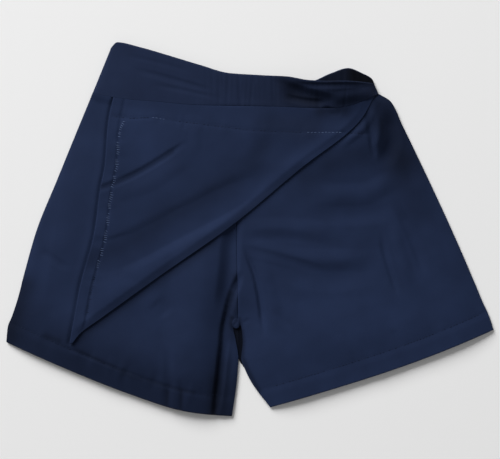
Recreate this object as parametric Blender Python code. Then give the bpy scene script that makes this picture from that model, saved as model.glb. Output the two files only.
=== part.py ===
"""A skort laid flat with its front up: shorts with a wrap flap sewn over the front.

Metres, +Z up. The surface is Z = 0, +Y runs towards the waist, and +X runs towards the wearer's left.
Left and right in the names are the wearer's. Sizes in the tables are in millimetres.
"""

from collections import namedtuple

import bmesh
import bpy
import numpy as np

MM = 0.001

# Thicknesses and gaps.
CLOTH = 1.2
BAND = 3.0  # elastic between two layers of cloth
TURNED = 0.5  # what a turned-in edge adds to one layer
SEAM_GAP = 0.3  # between two pieces that are sewn edge to edge
LAYER_GAP = 0.8  # between two layers that lie on each other

# Widths of the sewn borders.
HEM = 22.0  # turned-up hem of each leg
FACING = 13.0  # facing along the flap's free side edge
FLAP_HEM = 8.0  # narrow turning along the flap's diagonal edge

STEP = 3.0  # how softly a border's extra thickness starts

# How the front layer stands off the back one.
CROWN = 4.6  # height of the hollow between them, away from the seams
CROWN_REACH = 44.0  # width of the rounded border along a seam
CROWN_ROUND = 2.2  # how full that border is: 1 is a straight slope
HEM_CROWN = 0.7  # share of the crown that is left at a leg's hem
HEM_REACH = 50.0  # how far above the hem the crown is whole again
BAND_CROWN = 0.4  # share of it that is left at the waistband, whose thickness lifts the front too
BAND_REACH = 50.0  # how far below the waistband its thickness lifts the front
MOUTH = 17.0  # how much higher the waist stands where its mouth gapes
MOUTH_AT = (97.0, 166.0)
MOUTH_REACH = (46.0, 28.0)

# How the flap lies. It is sewn down along the waist and loose below. It stands up in a roll beside its
# diagonal edge and sinks again further in. Each pair is a value at the waist, and what the tip adds to it.
ROLL = (0.5, 0.9)
ROLL_AT = (7.0, 5.0)  # from the diagonal edge
ROLL_REACH = (8.0, 12.0)
CURL = 0.25  # share of the roll's height that is left right at the edge
CURL_REACH = 9.0  # how far in the roll has turned up again
LOOSE_BELOW = 30.0  # from the waist seam down to where the flap is loose
LOOSE_BESIDE = 26.0  # from the side edge in, where it lies flat
EASE = 1.0  # how far it floats over the front panels

# Sections across the front panels, from the waist seam down to the hem. side lies on the side seam,
# inner on the centre seam or, below the crotch, on the inseam. dip is how far the section hangs
# below its chord, and dip_at the share of the way from side to inner where it hangs most.
Section = namedtuple("Section", "side_x side_y inner_x inner_y dip dip_at")
RIGHT_SECTIONS = (
    Section(-191, 108, -15.0, 95, 3.0, 0.50),
    Section(-213, 54, -15.0, 38, 3.0, 0.50),
    Section(-235, 0, -14.7, -22, 3.0, 0.55),
    Section(-247.7, -44, -13.3, -84, 3.8, 0.60),
    Section(-251, -56.5, -13.1, -100, 4.4, 0.60),
    Section(-252.8, -64, -18.4, -108, 5.1, 0.60),
    Section(-256, -76, -15.6, -123, 6.0, 0.60),
    Section(-260.5, -90, -12.8, -142, 8.0, 0.60),
    Section(-263, -97, -13.3, -153, 8.8, 0.62),
    Section(-267, -107, -15.0, -172, 10.0, 0.66),
    Section(-268.7, -124, -20.0, -205.8, 12.2, 0.70),
)
LEFT_SECTIONS = (
    Section(155, 141, -15.0, 118, 8.0, 0.40),
    Section(168, 115, -15.0, 92, 5.0, 0.45),
    Section(194, 61, -15.0, 38, 3.0, 0.50),
    Section(220, 5, -14.7, -22, 3.0, 0.50),
    Section(240, -40.5, -13.3, -84, 3.8, 0.46),
    Section(244.8, -52, -13.1, -100, 4.0, 0.45),
    Section(247.8, -58.8, -9.5, -108, 4.1, 0.45),
    Section(252, -69, -8.0, -124, 5.0, 0.40),
    Section(257, -81, -9.6, -142, 5.0, 0.40),
    Section(260, -87, -6.0, -153, 5.2, 0.40),
    Section(263.5, -95, 2.0, -169, 5.4, 0.40),
    Section(268.5, -110.5, 22.3, -196, 5.0, 0.42),
)
CROTCH_Y = -100.0  # where the front's centre seam ends
BACK_CROTCH_Y = -143.0  # the back's centre seam runs further, under the front's inseams
BACK_SEAM_LEAN = 0.015  # how far it leans to the left there, for each millimetre down

# Stations along the waistband, from the right side to the left one. low is its seam with the
# panels, top the front band's upper edge, and back_rise how far the back band stands out above it.
Station = namedtuple("Station", "low_x low_y top_x top_y back_rise")
BAND_STATIONS = (
    Station(-173.0, 151.0, -153.0, 200.0, 0.0),
    Station(-166.0, 148.5, -146.0, 206.0, 0.0),
    Station(-138.0, 143.5, -120.0, 200.2, 0.0),
    Station(-102.0, 140.5, -87.0, 190.6, 0.0),
    Station(-62.0, 137.0, -54.0, 180.6, 0.0),
    Station(-24.0, 136.0, -23.0, 172.0, 0.0),
    Station(12.0, 135.5, 12.0, 169.6, 0.0),
    Station(46.0, 134.3, 40.0, 167.6, 0.0),
    Station(72.0, 132.8, 66.0, 162.6, 1.0),
    Station(92.0, 132.6, 89.0, 161.4, 10.9),
    Station(110.0, 135.6, 108.0, 161.4, 16.7),
    Station(126.0, 141.3, 124.0, 161.2, 11.1),
    Station(136.0, 146.3, 135.0, 160.6, 4.9),
    Station(141.5, 149.5, 137.5, 158.5, 0.0),
)

# The flap hangs from the waist seam between these two places, and ends in a low tip. Its free side
# edge and its diagonal edge each pass through the named points.
FLAP_TOP_X = (-150.3, 136.6)
FLAP_TIP = (-197.6, -125.0)
FLAP_TIP_WIDTH = 3.0
FLAP_SIDE = (
    (-155.7, 116.0),
    (-158.9, 72.0),
    (-164.3, 44.0),
    (-170.7, -4.0),
    (-186.2, -62.0),
    (-192.3, -96.0),
)
FLAP_DIAGONAL = (
    (120.7, 119.4),
    (55.7, 66.9),
    (-16.0, 7.4),
    (-101.5, -52.8),
    (-162.6, -96.8),
    (-186.0, -114.0),
)

# Folds. Each follows a curve through its start, middle and end. half is half its width, and height
# is positive for a ridge and negative for a trough. They fade out towards their ends, and beside a seam.
Fold = namedtuple("Fold", "name x0 y0 x1 y1 x2 y2 half height")
FRONT_FOLDS = (
    Fold("inner_leg_puff", -44, 14, -58, -90, -74, -226, 38, 5.0),
    Fold("inner_leg_crease", -10, -44, -23.5, -84, -32, -128, 7, -4.2),
    Fold("inner_leg_groove", -23.5, -84, -32.5, -140, -41, -212, 7, -4.8),
    Fold("inner_leg_hollow", -19, 20, -22, -30, -29, -98, 13, -4.0),
    Fold("inseam_roll", -13, -84, -20, -136, -28, -222, 8, 0.9),
    Fold("crotch_crease", -9, -14, 7, -58, 16, -120, 7, -2.0),
    Fold("crotch_bank", 6, -30, 20, -66, 30, -118, 12, 1.3),
    Fold("thigh_ridge", -16, -16, 62, -32, 142, -34, 14, 1.3),
    Fold("thigh_trough", 22, -38, 86, -52, 150, -40, 19, -1.2),
    Fold("thigh_swell", -4, -110, 76, -116, 156, -104, 42, 1.6),
    Fold("upper_ridge", -16, -1, 34, 1, 110, -7, 14, 1.2),
    Fold("hip_trough", 58, 20, 112, 16, 162, 22, 14, -1.0),
    Fold("hip_ridge", 64, 38, 116, 38, 168, 60, 14, 1.4),
    Fold("side_crease", 142, -2, 151, -38, 164, -76, 7, -1.4),
    Fold("side_ridge", 156, 8, 165, -24, 178, -62, 9, 1.2),
    Fold("outer_crease", 156, 34, 175, -4, 195, -56, 9, -1.4),
    Fold("waist_pucker", 150, 134, 155, 101, 143, 66, 13, -3.0),
    Fold("hip_swell", 50, 60, 106, 112, 156, 156, 68, 4.2),
    Fold("hem_crease", -93, -120, -89, -150, -93, -214, 8, -0.9),
    Fold("right_leg_swell", -232, -84, -150, -132, -58, -150, 46, 2.4),
)
FLAP_FOLDS = (
    Fold("corner_crease", -180, 40, -128, 61, -66, 99, 7, -1.6),
    Fold("corner_bank", -168, 34, -116, 48, -60, 84, 11, 0.5),
    Fold("long_trough", -196, -56, -88, 0, 44, 66, 24, -2.8),
)
FOLD_FADE = 0.3  # the share of a fold's length that each end takes to fade
FOLD_CALM = 8.0  # from a seam to where a fold has its full height

# Faces: columns run from a side seam to the middle, rows from the waist to the hem.
PANEL_COLUMNS = 25
FRONT_ROWS = 26
BACK_ROWS = 13
FLAP_COLUMNS = 25
FLAP_ROWS = 22
BAND_ROWS = 5
CROWDED = {"right": (0.84, 0.93), "left": (0.86,)}  # where a front panel's narrow folds need them
CROWDING = 1.6  # how many more columns there are at a crowded place, and at both ends
CROWD_REACH = 0.07
LINE_STEPS = 60  # straight pieces in each smooth line that distances are measured to
SHARP = 50  # degrees between faces that are shaded as an edge

COLOURS = {"cloth": (0.0145, 0.0225, 0.0505, 1.0), "band": (0.0125, 0.0185, 0.0420, 1.0)}


# ---------------------------------------------------------------- curves and distances


def shares(points):
    """How far along a line of points each of them lies, from 0 to 1."""
    run = np.r_[0, np.cumsum(np.linalg.norm(np.diff(points, axis=0), axis=1))]
    return run / run[-1]


def through(points, where):
    """A smooth curve through points that never swings past them, read at each share of its length."""
    points = np.asarray(points, float)
    knots = shares(points)
    chords = np.diff(points, axis=0) / np.diff(knots)[:, None]
    before, after = chords[:-1], chords[1:]
    alike = before * after > 0
    slopes = np.zeros_like(points)
    slopes[0], slopes[-1] = chords[0], chords[-1]
    slopes[1:-1][alike] = (2 * before[alike] * after[alike]) / (before[alike] + after[alike])
    where = np.clip(np.asarray(where, float), 0, 1)
    left = np.clip(np.searchsorted(knots, where, side="right") - 1, 0, len(knots) - 2)
    span = (knots[left + 1] - knots[left])[:, None]
    t = (where - knots[left])[:, None] / span
    start = (2 * t**3 - 3 * t**2 + 1) * points[left] + (t**3 - 2 * t**2 + t) * span * slopes[left]
    end = (3 * t**2 - 2 * t**3) * points[left + 1] + (t**3 - t**2) * span * slopes[left + 1]
    return start + end


def smooth(share):
    """0 to 1, with level ends."""
    share = np.clip(share, 0, 1)
    return share * share * (3 - 2 * share)


def bell(away, reach):
    """1 at no distance, fading smoothly to nothing past the reach."""
    return np.exp(-((away / reach) ** 2))


def not_below_nil(height, turn=0.2):
    """The height where it is above 0, and nearly 0 where it is below, with a soft turn between."""
    return (height + np.hypot(height, turn)) / 2


def nearest(x, y, line):
    """The distance from each point to a line of points, and the share of the line's length there."""
    line = np.asarray(line, float)
    start, along = line[:-1], np.diff(line, axis=0)
    length = np.linalg.norm(along, axis=1)
    place = np.stack([np.ravel(x), np.ravel(y)], axis=1)[:, None] - start[None]
    share = np.clip((place * along).sum(2) / length**2, 0, 1)
    gap = np.linalg.norm(place - share[..., None] * along, axis=2)
    best = gap.argmin(axis=1)
    picked = np.arange(len(best))
    run = np.r_[0, np.cumsum(length)]
    travelled = (run[best] + share[picked, best] * length[best]) / run[-1]
    return gap[picked, best].reshape(np.shape(x)), travelled.reshape(np.shape(x))


def graded(count, crowded):
    """Shares from 0 to 1, closer together near both ends and near the crowded places."""
    fine = np.linspace(0, 1, 8 * LINE_STEPS)
    weight = 1 + CROWDING * sum(bell(fine - place, CROWD_REACH) for place in (0, 1, *crowded))
    run = np.cumsum(weight) - weight[0]
    return np.interp(np.linspace(0, 1, count), run / run[-1], fine)


# ---------------------------------------------------------------- the pieces' plans


def waist_seam(x):
    """Y of the seam between the waistband and the panels."""
    low = through([(s.low_x, s.low_y) for s in BAND_STATIONS], np.linspace(0, 1, 3 * LINE_STEPS))
    return np.interp(x, low[:, 0], low[:, 1])


def seam_places(side):
    """X of each column of a panel at the waist seam, from the side seam to the centre seam."""
    end, sections, sign = {
        "right": (BAND_STATIONS[0].low_x, RIGHT_SECTIONS, -1),
        "left": (BAND_STATIONS[-1].low_x, LEFT_SECTIONS, 1),
    }[side]
    middle = sections[0].inner_x + sign * SEAM_GAP / 2
    return end + graded(PANEL_COLUMNS, CROWDED[side]) * (middle - end)


def section_line(section, columns, shift):
    """Points across a panel, from its side seam to its inner edge."""
    side = np.array([section.side_x, section.side_y])
    inner = np.array([section.inner_x + shift, section.inner_y])
    chord = inner - side
    down = np.array([-chord[1], chord[0]]) / np.linalg.norm(chord)
    down *= -np.sign(down[1])
    rising = np.sin(np.pi / 2 * np.clip(columns / section.dip_at, 0, 1))
    falling = np.sin(np.pi / 2 * np.clip((1 - columns) / (1 - section.dip_at), 0, 1))
    hang = section.dip * np.minimum(rising, falling)
    return side + columns[:, None] * chord + hang[:, None] * down


def row_places(knots, count):
    """About count shares from 0 to 1, evenly spaced between the knots and meeting every one of them."""
    steps = [max(1, round((end - start) * count)) for start, end in zip(knots, knots[1:])]
    spans = [np.linspace(a, b, n, endpoint=False) for a, b, n in zip(knots, knots[1:], steps)]
    return np.concatenate([*spans, [1.0]])


def panel_plan(side, sections, count):
    """The plan of a leg panel as a grid of points: rows from waist to hem, columns from side to inner."""
    columns, x = graded(PANEL_COLUMNS, CROWDED[side]), seam_places(side)
    shift = SEAM_GAP / 2 * (-1 if side == "right" else 1)
    waist = np.stack([x, waist_seam(x) - SEAM_GAP], axis=1)
    lines = np.array([waist] + [section_line(s, columns, shift) for s in sections])
    knots = shares(lines[:, len(columns) // 2])
    rows = row_places(knots, count)
    plan = np.empty((len(rows), len(columns), 2))
    for column in range(len(columns)):
        line = lines[:, column]
        plan[:, column] = through(line, np.interp(rows, knots, shares(line)))
    return plan


def band_plan(rows, rise):
    """The plan of a waistband piece: rows from the waist seam up, and the panels' own columns."""
    x = np.r_[seam_places("right"), seam_places("left")[::-1]]
    low = np.stack([x, waist_seam(x)], axis=1)
    stations = np.array(BAND_STATIONS, float)
    top = stations[:, 2:4].copy()
    top[:, 1] += rise * stations[:, 4]
    top = through(top, np.interp(x, stations[:, 0], shares(top)))
    return low[None] + rows[:, None, None] * (top - low)[None]


def flap_edges(rows):
    """The flap's side edge and diagonal edge, from the waist seam down to the tip."""
    start, end = FLAP_TOP_X
    tip = np.array(FLAP_TIP)
    top_left = (start, waist_seam(start) - 2 * SEAM_GAP)
    top_right = (end, waist_seam(end) - 2 * SEAM_GAP)
    side = through([top_left, *FLAP_SIDE, tip], rows)
    diagonal = through([top_right, *FLAP_DIAGONAL, tip + (FLAP_TIP_WIDTH, 0)], rows)
    return side, diagonal


def flap_plan(columns, rows):
    """The plan of the flap: rows from the waist seam to the tip, columns from side to diagonal edge."""
    side, diagonal = flap_edges(rows)
    x = FLAP_TOP_X[0] + columns * (FLAP_TOP_X[1] - FLAP_TOP_X[0])
    seam = np.stack([x, waist_seam(x) - 2 * SEAM_GAP], axis=1)
    straight = seam[0] + columns[:, None] * (seam[-1] - seam[0])
    bend = (seam - straight)[None] * (1 - rows)[:, None, None]
    return side[:, None] + columns[None, :, None] * (diagonal - side)[:, None] + bend


# ---------------------------------------------------------------- heights


def outline():
    """The lines along which front and back are joined, and the two hems."""
    share = np.linspace(0, 1, LINE_STEPS)
    stations = np.array(BAND_STATIONS, float)
    lines = {}
    for name, sections, end in (("right", RIGHT_SECTIONS, 0), ("left", LEFT_SECTIONS, -1)):
        top, low = stations[end, 2:4], stations[end, :2]
        lines[name + "_side"] = through([top, low] + [(s.side_x, s.side_y) for s in sections], share)
        inseam = [(s.inner_x, s.inner_y) for s in sections if s.inner_y <= CROTCH_Y]
        lines[name + "_inseam"] = through(inseam, share)
        lines[name + "_hem"] = section_line(sections[-1], share, 0)
    return lines


LINES = outline()


def over(x, y, *names):
    """The distance to the nearest of the named outline lines."""
    return np.min([nearest(x, y, LINES[n])[0] for n in names], axis=0)


def fold_height(x, y, folds, keep=lambda fold: True):
    """What the folds add: each fades out towards both ends and both sides."""
    total = np.zeros(np.shape(x))
    for fold in filter(keep, folds):
        points = ((fold.x0, fold.y0), (fold.x1, fold.y1), (fold.x2, fold.y2))
        gap, share = nearest(x, y, through(points, np.linspace(0, 1, LINE_STEPS // 2)))
        across = np.clip(1 - (gap / fold.half) ** 2, 0, 1) ** 2
        along = smooth(share / FOLD_FADE) * smooth((1 - share) / FOLD_FADE)
        total += fold.height * across * along
    return total


def front_under(x, y, keep=lambda fold: True):
    """Height of the front layer's underside over the surface."""
    seam = over(x, y, "right_side", "left_side", "right_inseam", "left_inseam")
    swell = 1 - (1 - np.clip(seam / CROWN_REACH, 0, 1)) ** CROWN_ROUND
    near_hem = 1 - smooth(over(x, y, "right_hem", "left_hem") / HEM_REACH)
    near_band = smooth(1 - (waist_seam(x) - y) / BAND_REACH)
    mouth = bell(x - MOUTH_AT[0], MOUTH_REACH[0]) * bell(y - MOUTH_AT[1], MOUTH_REACH[1])
    crown = CROWN * (1 - (1 - HEM_CROWN) * near_hem) * (1 - (1 - BAND_CROWN) * near_band)
    folds = smooth(seam / FOLD_CALM) * fold_height(x, y, FRONT_FOLDS, keep)
    rest = CLOTH + SEAM_GAP + (BAND - CLOTH) * near_band
    return rest + not_below_nil(swell * (crown + MOUTH * mouth) + folds)


def flap_under(x, y):
    """Height of the flap's underside: on the front panels, with its roll and folds on top."""
    cover = front_under(x, y, lambda fold: fold.height > 0) + CLOTH
    side, diagonal = flap_edges(np.linspace(0, 1, LINE_STEPS))
    edge, share = nearest(x, y, diagonal)
    high, away, reach = (low + more * share**2 for low, more in (ROLL, ROLL_AT, ROLL_REACH))
    curl = CURL + (1 - CURL) * smooth(edge / CURL_REACH)
    below = smooth((waist_seam(x) - y) / LOOSE_BELOW)
    beside = smooth(nearest(x, y, side)[0] / LOOSE_BESIDE)
    lift = beside * high * bell(edge - away, reach) + EASE
    lift = below * (curl * lift + fold_height(x, y, FLAP_FOLDS))
    return cover + LAYER_GAP + not_below_nil(lift)


def flap_top(x, y):
    """Height of the flap's outer face, thicker over its facing and its turned diagonal edge."""
    side, diagonal = flap_edges(np.linspace(0, 1, LINE_STEPS))
    facing = smooth((FACING - nearest(x, y, side)[0]) / STEP)
    turning = smooth((FLAP_HEM - nearest(x, y, diagonal)[0]) / STEP)
    return flap_under(x, y) + CLOTH + TURNED * np.maximum(facing, turning)


def front_top(x, y):
    """Height of a front panel's outer face, thicker over its turned-up hem."""
    hem = smooth((HEM - over(x, y, "right_hem", "left_hem")) / STEP)
    return front_under(x, y) + CLOTH + TURNED * hem


# ---------------------------------------------------------------- solids


def material(name):
    made = bpy.data.materials.new(name)
    made.use_nodes = True
    shader = made.node_tree.nodes["Principled BSDF"]
    shader.inputs["Base Color"].default_value = COLOURS[name]
    shader.inputs["Roughness"].default_value = 0.85
    shader.inputs["Metallic"].default_value = 0.0
    return made


def cloth_wall(name, plan, under, top, finish):
    """A closed wall of cloth: a grid of faces at the height under, extruded up to the height top."""
    body = bmesh.new()
    low, high = under(plan[..., 0], plan[..., 1]), top(plan[..., 0], plan[..., 1])
    rows, columns = plan.shape[:2]
    verts = [
        [body.verts.new((*(plan[r, c] * MM), low[r, c] * MM)) for c in range(columns)] for r in range(rows)
    ]
    height = {verts[r][c]: high[r, c] * MM for r in range(rows) for c in range(columns)}
    for r in range(rows - 1):
        for c in range(columns - 1):
            body.faces.new((verts[r][c], verts[r + 1][c], verts[r + 1][c + 1], verts[r][c + 1]))
    places = {(v.co.x, v.co.y): h for v, h in height.items()}
    raised = bmesh.ops.extrude_face_region(body, geom=body.faces[:], use_keep_orig=True)
    for item in raised["geom"]:
        if isinstance(item, bmesh.types.BMVert):
            item.co.z = places[(item.co.x, item.co.y)]
    bmesh.ops.recalc_face_normals(body, faces=body.faces[:])
    mesh = bpy.data.meshes.new(name)
    body.to_mesh(mesh)
    body.free()
    mesh.shade_smooth()
    mesh.set_sharp_from_angle(angle=np.radians(SHARP))
    mesh.materials.append(finish)
    made = bpy.data.objects.new(name, mesh)
    bpy.context.scene.collection.objects.link(made)
    return made


def level(height):
    """A face of a back piece: flat, at one height."""
    return lambda x, y: np.full(np.shape(x), height)


def back_sections(sections):
    """The back's sections: the same outline, with the centre seam run on to the back's crotch."""
    crotch_x = next(s.inner_x for s in sections if s.inner_y == CROTCH_Y)
    return [
        s._replace(inner_x=crotch_x + BACK_SEAM_LEAN * (CROTCH_Y - s.inner_y))
        if BACK_CROTCH_Y < s.inner_y < CROTCH_Y
        else s
        for s in sections
    ]


def leg_panels(cloth):
    for side, sections in (("right", RIGHT_SECTIONS), ("left", LEFT_SECTIONS)):
        plan = panel_plan(side, sections, FRONT_ROWS)
        cloth_wall("front_panel_" + side, plan, front_under, front_top, cloth)
        plan = panel_plan(side, back_sections(sections), BACK_ROWS)
        cloth_wall("back_panel_" + side, plan, level(0), level(CLOTH), cloth)


def wrap_flap(cloth):
    plan = flap_plan(graded(FLAP_COLUMNS, ()), graded(FLAP_ROWS, ()))
    cloth_wall("wrap_flap", plan, flap_under, flap_top, cloth)


def band_top(x, y):
    """Height of the front band's outer face."""
    return front_under(x, y) + BAND


def waistband(band):
    up = np.linspace(0, 1, BAND_ROWS)
    cloth_wall("waistband_front", band_plan(up, 0), front_under, band_top, band)
    cloth_wall("waistband_back", band_plan(up, 1), level(0), level(BAND), band)


def main():
    for leftover in list(bpy.data.objects):
        bpy.data.objects.remove(leftover)
    cloth, band = material("cloth"), material("band")
    leg_panels(cloth)
    wrap_flap(cloth)
    waistband(band)


main()
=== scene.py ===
"""Looks of a skort laid flat with its front up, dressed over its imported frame.

The tables and curves are in millimetres, in the frame's own axes: +Y runs towards the waist and +X towards
the wearer's left. Left and right in the names are the wearer's. Meshes are turned into metres when made.
"""

from collections import namedtuple

import bpy
import numpy as np
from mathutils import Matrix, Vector, noise


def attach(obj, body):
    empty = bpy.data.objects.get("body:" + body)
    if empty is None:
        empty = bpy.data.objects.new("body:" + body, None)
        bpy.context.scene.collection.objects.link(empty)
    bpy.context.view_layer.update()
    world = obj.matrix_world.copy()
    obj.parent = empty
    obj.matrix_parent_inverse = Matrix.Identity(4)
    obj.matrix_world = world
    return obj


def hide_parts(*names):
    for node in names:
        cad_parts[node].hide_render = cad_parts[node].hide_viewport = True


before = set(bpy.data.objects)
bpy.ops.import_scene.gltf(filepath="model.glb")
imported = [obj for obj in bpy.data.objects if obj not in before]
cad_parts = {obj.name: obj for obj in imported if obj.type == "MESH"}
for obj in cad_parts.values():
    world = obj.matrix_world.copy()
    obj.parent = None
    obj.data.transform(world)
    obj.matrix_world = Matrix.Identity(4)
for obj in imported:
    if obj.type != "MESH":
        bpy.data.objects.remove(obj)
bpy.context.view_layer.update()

MM = 0.001


def table(kind, *rows):
    """Rows with named columns."""
    return [kind(*row) for row in rows]


# ---- sizes that the solids have too

CLOTH = 1.2
BAND = 3.0
TURNED = 0.5
SEAM_GAP = 0.3
SEWN_GAP = 0.03  # the looks' own gap between two pieces at a seam
LAYER_GAP = 0.25  # and under the flap
HEM = 22.0
FACING = 13.0
FLAP_HEM = 8.0
STEP = 3.0

# How high the front lies over the back: the crown inside the legs, the share of it that is left at the hem
# and at the waistband, and the mouth between the waistband's halves.
CROWN = 4.6
CROWN_REACH = 44.0
CROWN_ROUND = 2.2
HEM_CROWN = 0.7
HEM_REACH = 50.0
BAND_CROWN = 0.4
BAND_REACH = 50.0
MOUTH = 17.0
MOUTH_AT = (97.0, 166.0)
MOUTH_REACH = (46.0, 28.0)

# The flap's roll along its diagonal edge, each at the top and how much more at the tip, and where the flap
# comes loose from the fronts.
ROLL = (0.5, 0.9)
ROLL_AT = (7.0, 5.0)
ROLL_REACH = (8.0, 12.0)
CURL = 0.2
CURL_REACH = 9.0
LOOSE_BELOW = 30.0
LOOSE_BESIDE = 26.0
EASE = 1.0

Section = namedtuple("Section", "side_x side_y inner_x inner_y dip dip_at")
RIGHT_SECTIONS = table(
    Section,
    (-191, 108, -15, 95, 3, 0.5),
    (-213, 54, -15, 38, 3, 0.5),
    (-235, 0, -14.7, -22, 3, 0.55),
    (-247.7, -44, -13.3, -84, 3.8, 0.6),
    (-251, -56.5, -13.1, -100, 4.4, 0.6),
    (-252.8, -64, -18.4, -108, 5.1, 0.6),
    (-256, -76, -15.6, -123, 6, 0.6),
    (-260.5, -90, -12.8, -142, 8, 0.6),
    (-263, -97, -13.3, -153, 8.8, 0.62),
    (-267, -107, -15, -172, 10, 0.66),
    (-268.7, -124, -20, -205.8, 12.2, 0.7),
)
LEFT_SECTIONS = table(
    Section,
    (155, 141, -15, 118, 8, 0.4),
    (168, 115, -15, 92, 5, 0.45),
    (194, 61, -15, 38, 3, 0.5),
    (220, 5, -14.7, -22, 3, 0.5),
    (240, -40.5, -13.3, -84, 3.8, 0.46),
    (244.8, -52, -13.1, -100, 4, 0.45),
    (247.8, -58.8, -9.5, -108, 4.1, 0.45),
    (252, -69, -8, -124, 5, 0.4),
    (257, -81, -9.6, -142, 5, 0.4),
    (260, -87, -6, -153, 5.2, 0.4),
    (263.5, -95, 2, -169, 5.4, 0.4),
    (268.5, -110.5, 22.3, -196, 5, 0.42),
)
CROTCH_Y = -100.0
BACK_CROTCH_Y = -143.0
BACK_SEAM_LEAN = 0.015
CENTRE_X = -15.0
NEAR = 1.5  # a section ends at a crotch when it is as near to it as this

Station = namedtuple("Station", "low_x low_y top_x top_y back_rise")
BAND_STATIONS = table(
    Station,
    (-173, 151, -153, 200, 0),
    (-166, 148.5, -146, 206, 0),
    (-138, 143.5, -120, 200.2, 0),
    (-102, 140.5, -87, 190.6, 0),
    (-62, 137, -54, 180.6, 0),
    (-24, 136, -23, 172, 0),
    (12, 135.5, 12, 169.6, 0),
    (46, 134.3, 40, 167.6, 0),
    (72, 132.8, 66, 162.6, 1),
    (92, 132.6, 89, 161.4, 10.9),
    (110, 135.6, 108, 161.4, 16.7),
    (126, 141.3, 124, 161.2, 11.1),
    (136, 146.3, 135, 160.6, 4.9),
    (141.5, 149.5, 137.5, 158.5, 0),
)

FLAP_TOP_X = (-150.3, 136.6)
FLAP_TIP = (-197.6, -125.0)
FLAP_TIP_WIDTH = 3.0
FLAP_SIDE = (
    (-155.7, 116), (-158.9, 72), (-164.3, 44),
    (-170.7, -4), (-186.2, -62), (-192.3, -96),
)
FLAP_DIAGONAL = (
    (120.7, 119.4), (55.7, 66.9), (-16, 7.4),
    (-101.5, -52.8), (-162.6, -96.8), (-186, -114),
)

# ---- folds

# Each follows a curve through its start, middle and end. half is half its width, height is positive for a
# ridge and negative for a trough, and lean makes one flank steeper: positive steepens the flank on the
# left hand of someone who walks from start to end. Most have none.
Fold = namedtuple("Fold", "name x0 y0 x1 y1 x2 y2 half height lean", defaults=(0.0,))
FRONT_FOLDS = table(
    Fold,
    ("inner_leg_puff", -44, 14, -58, -90, -74, -226, 38, 5.0),
    ("inner_leg_crease", -10, -44, -23.5, -84, -32, -128, 5.4, -6.4, -0.2),
    ("inner_leg_groove", -23.0, -84, -31.2, -140, -39.5, -212, 5.8, -7.2, -0.2),
    ("inner_leg_hollow", -19, 20, -22, -30, -29, -98, 13, -4.0),
    ("inseam_hollow", -13, -76, -20, -136, -28, -222, 9, -1.1),
    ("crotch_crease", -9, -14, 7, -58, 16, -120, 4.5, -2.8, -0.2),
    ("crotch_bank", 6, -30, 20, -66, 30, -118, 12, 1.3),
    ("thigh_ridge", -16, -16, 62, -32, 142, -34, 14, 1.3),
    ("thigh_trough", 22, -38, 86, -52, 150, -40, 19, -1.2),
    ("thigh_swell", -4, -110, 76, -116, 156, -104, 42, 1.6),
    ("upper_ridge", -16, -1, 34, 1, 110, -7, 14, 1.2),
    ("hip_trough", 58, 20, 112, 16, 162, 22, 14, -1.0),
    ("hip_ridge", 64, 38, 116, 38, 168, 60, 14, 1.4),
    ("side_crease", 142, -2, 151, -38, 164, -76, 5, -1.6, -0.2),
    ("side_ridge", 156, 8, 165, -24, 178, -62, 9, 1.2),
    ("outer_crease", 156, 34, 175, -4, 195, -56, 8, -1.5, -0.2),
    ("waist_pucker", 150, 134, 155, 101, 143, 66, 13, -3.0, -0.15),
    ("hip_swell", 50, 60, 106, 112, 156, 156, 68, 4.2),
    ("hem_crease", -93, -120, -89, -150, -93, -214, 7, -1.0),
    ("right_leg_swell", -232, -84, -150, -132, -58, -150, 46, 2.4),
)
FLAP_FOLDS = table(
    Fold,
    ("corner_crease", -180, 40, -128, 61, -66, 99, 4.5, -2.1, 0.45),
    ("corner_bank", -168, 34, -116, 48, -60, 84, 11, 0.5),
    ("long_trough", -196, -56, -88, 0, 44, 66, 24, -2.8),
)
FOLD_FADE = 0.3
FOLD_CALM = 8.0

# Finer creases, which only the looks have.
FRONT_CREASES = table(
    Fold,
    ("knot_crease_a", -26, -94, -19, -100, -12, -104, 3, -0.7),
    ("knot_crease_b", -13, -105, -7, -103, 0, -97, 3, -0.6),
    ("thigh_line", -12, -19, 36, -31, 84, -45, 7, -0.8, 0.2),
    ("upper_line", -12, -11, 26, -6, 76, -12, 9, -0.6),
    ("thigh_dimple", -106, -78, -98, -86, -90, -96, 15, -0.8),
    ("hem_pucker", -76, -160, -75, -178, -77, -204, 5, -0.7),
    ("side_nick", -232, -20, -213, -35, -196, -44, 7, -0.6),
    ("low_crease_a", 24, -86, 34, -98, 48, -110, 7, -0.4),
    ("low_crease_b", 80, -92, 89, -106, 98, -122, 6, -0.3),
    ("low_crease_c", 154, -108, 161, -118, 170, -130, 7, -0.4),
    ("waist_nick", 128, 132, 133, 104, 138, 74, 5, -1.8, 0.2),
    ("waist_bank", 136, 134, 141, 110, 136, 82, 6, 1.9),
    ("side_bank", 172, 100, 184, 70, 196, 30, 13, 0.7),
    ("diagonal_bank", 141, 148, 131, 120, 96, 88, 6, 1.2),
    ("outer_bank", 190, 12, 202, -20, 214, -56, 12, 0.7),
    ("right_long", -218, 34, -226, -24, -236, -86, 11, -0.6),
    ("right_low", -206, -92, -186, -132, -172, -170, 12, -0.5),
    ("hem_crease_b", -150, -120, -140, -150, -136, -190, 9, -0.4),
    ("hem_crease_c", 122, -110, 130, -140, 133, -176, 9, -0.3),
)
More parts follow.
